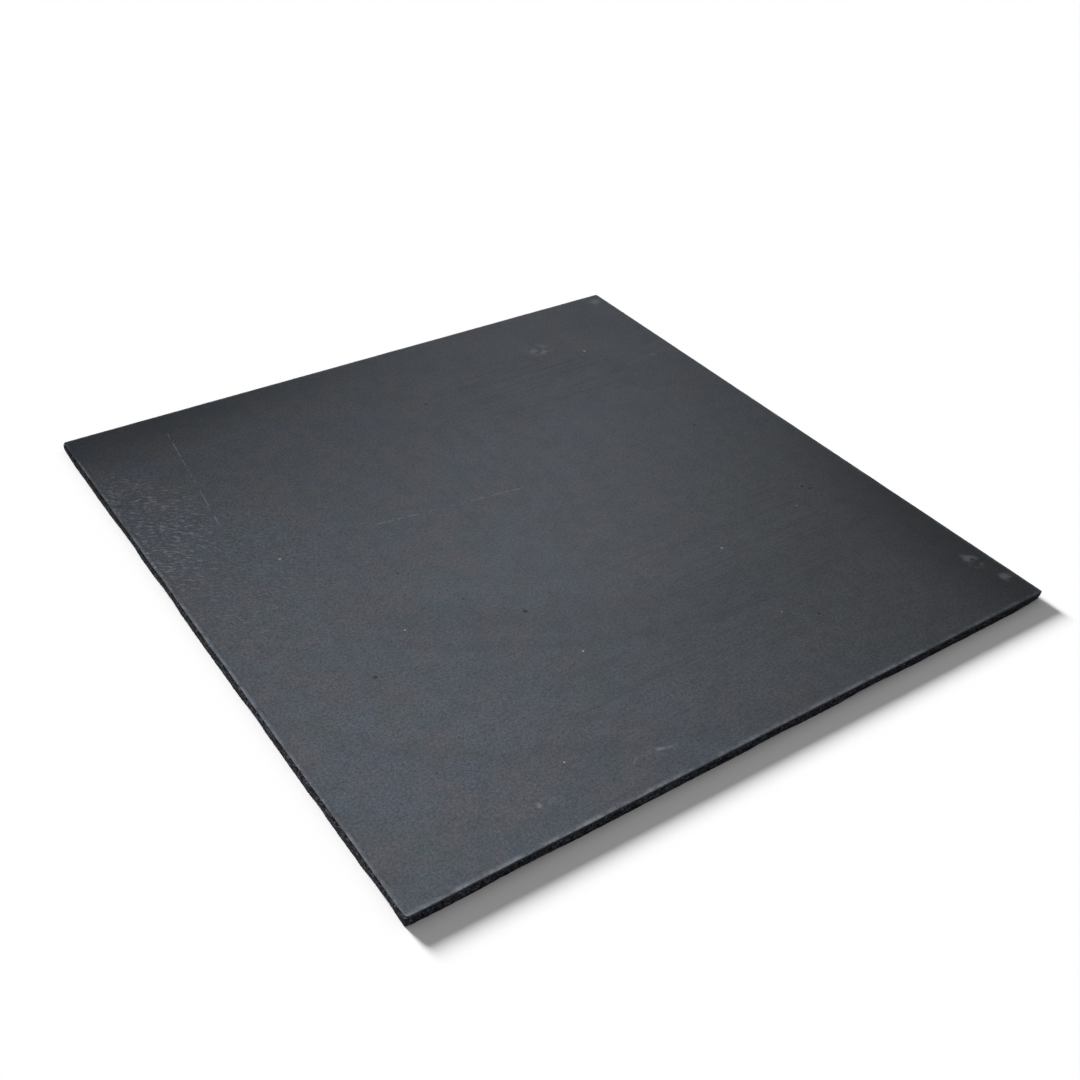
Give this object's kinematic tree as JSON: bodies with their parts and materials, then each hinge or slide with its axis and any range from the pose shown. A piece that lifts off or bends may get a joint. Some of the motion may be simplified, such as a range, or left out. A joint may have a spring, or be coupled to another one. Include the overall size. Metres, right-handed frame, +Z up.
{
  "type": "seedling heat mat",
  "caption": "Flat, nearly square rubber propagation mat: smooth top sheet over a crumb-rubber pad, with a sealed heating cable and thermal cut-out that warm seed trays from below.",
  "frame": {"origin": "centre of the underside", "axes": "+Z up through the thickness, +X along the front edge to the right, +Y towards the rear edge with the cord gland"},
  "size_m": [0.508, 0.52, 0.0082],
  "materials": {
    "cover_rubber": "satin",
    "seal_film": "satin",
    "foil": "satin",
    "scrim": "matt",
    "thread": "matt",
    "silicone": "satin",
    "resistance_alloy": "satin",
    "crumb_rubber": "matt",
    "gland_rubber": "matt",
    "junction_plastic": "matt",
    "tinned_metal": "satin",
    "sleeve_plastic": "satin",
    "blue_insulation": "gloss",
    "brown_insulation": "gloss",
    "copper_wire": "bright",
    "case_metal": "satin",
    "resin": "matt",
    "terminal_brass": "satin",
    "contact_metal": "satin",
    "bimetal": "satin"
  },
  "bodies": {
    "mat": {"top_sheet": "cover_rubber", "seal_film": "seal_film", "heat_spreader": "foil", "heater_scrim": "scrim", "cable_stitches": "thread", "heating_sheath": "silicone", "heating_conductor": "resistance_alloy", "base_pad": "crumb_rubber", "cord_gland": "gland_rubber", "junction_tray": "junction_plastic", "junction_cover": "junction_plastic", "supply_splices": "tinned_metal", "cable_splices": "tinned_metal", "splice_sleeves": "sleeve_plastic", "return_lead": "blue_insulation", "return_lead_core": "copper_wire", "live_lead": "brown_insulation", "live_lead_core": "copper_wire", "link_lead": "brown_insulation", "link_lead_core": "copper_wire", "cutout_case": "case_metal", "cutout_plugs": "resin", "cutout_fixed_terminal": "terminal_brass", "cutout_fixed_contact": "contact_metal", "cutout_blade_terminal": "terminal_brass"},
    "blade": {"cutout_blade": "bimetal", "cutout_blade_contact": "contact_metal"}
  },
  "joints": [
    {"name": "blade_bend", "type": "hinge", "parent": "mat", "child": "blade", "pos_m": [0.1516, 0.226, 0.00385], "axis": [0, 1, 0], "range_deg": [0, 4], "stiffness_Nm_per_rad": 0.02, "springref_deg": -8.59}
  ]
}
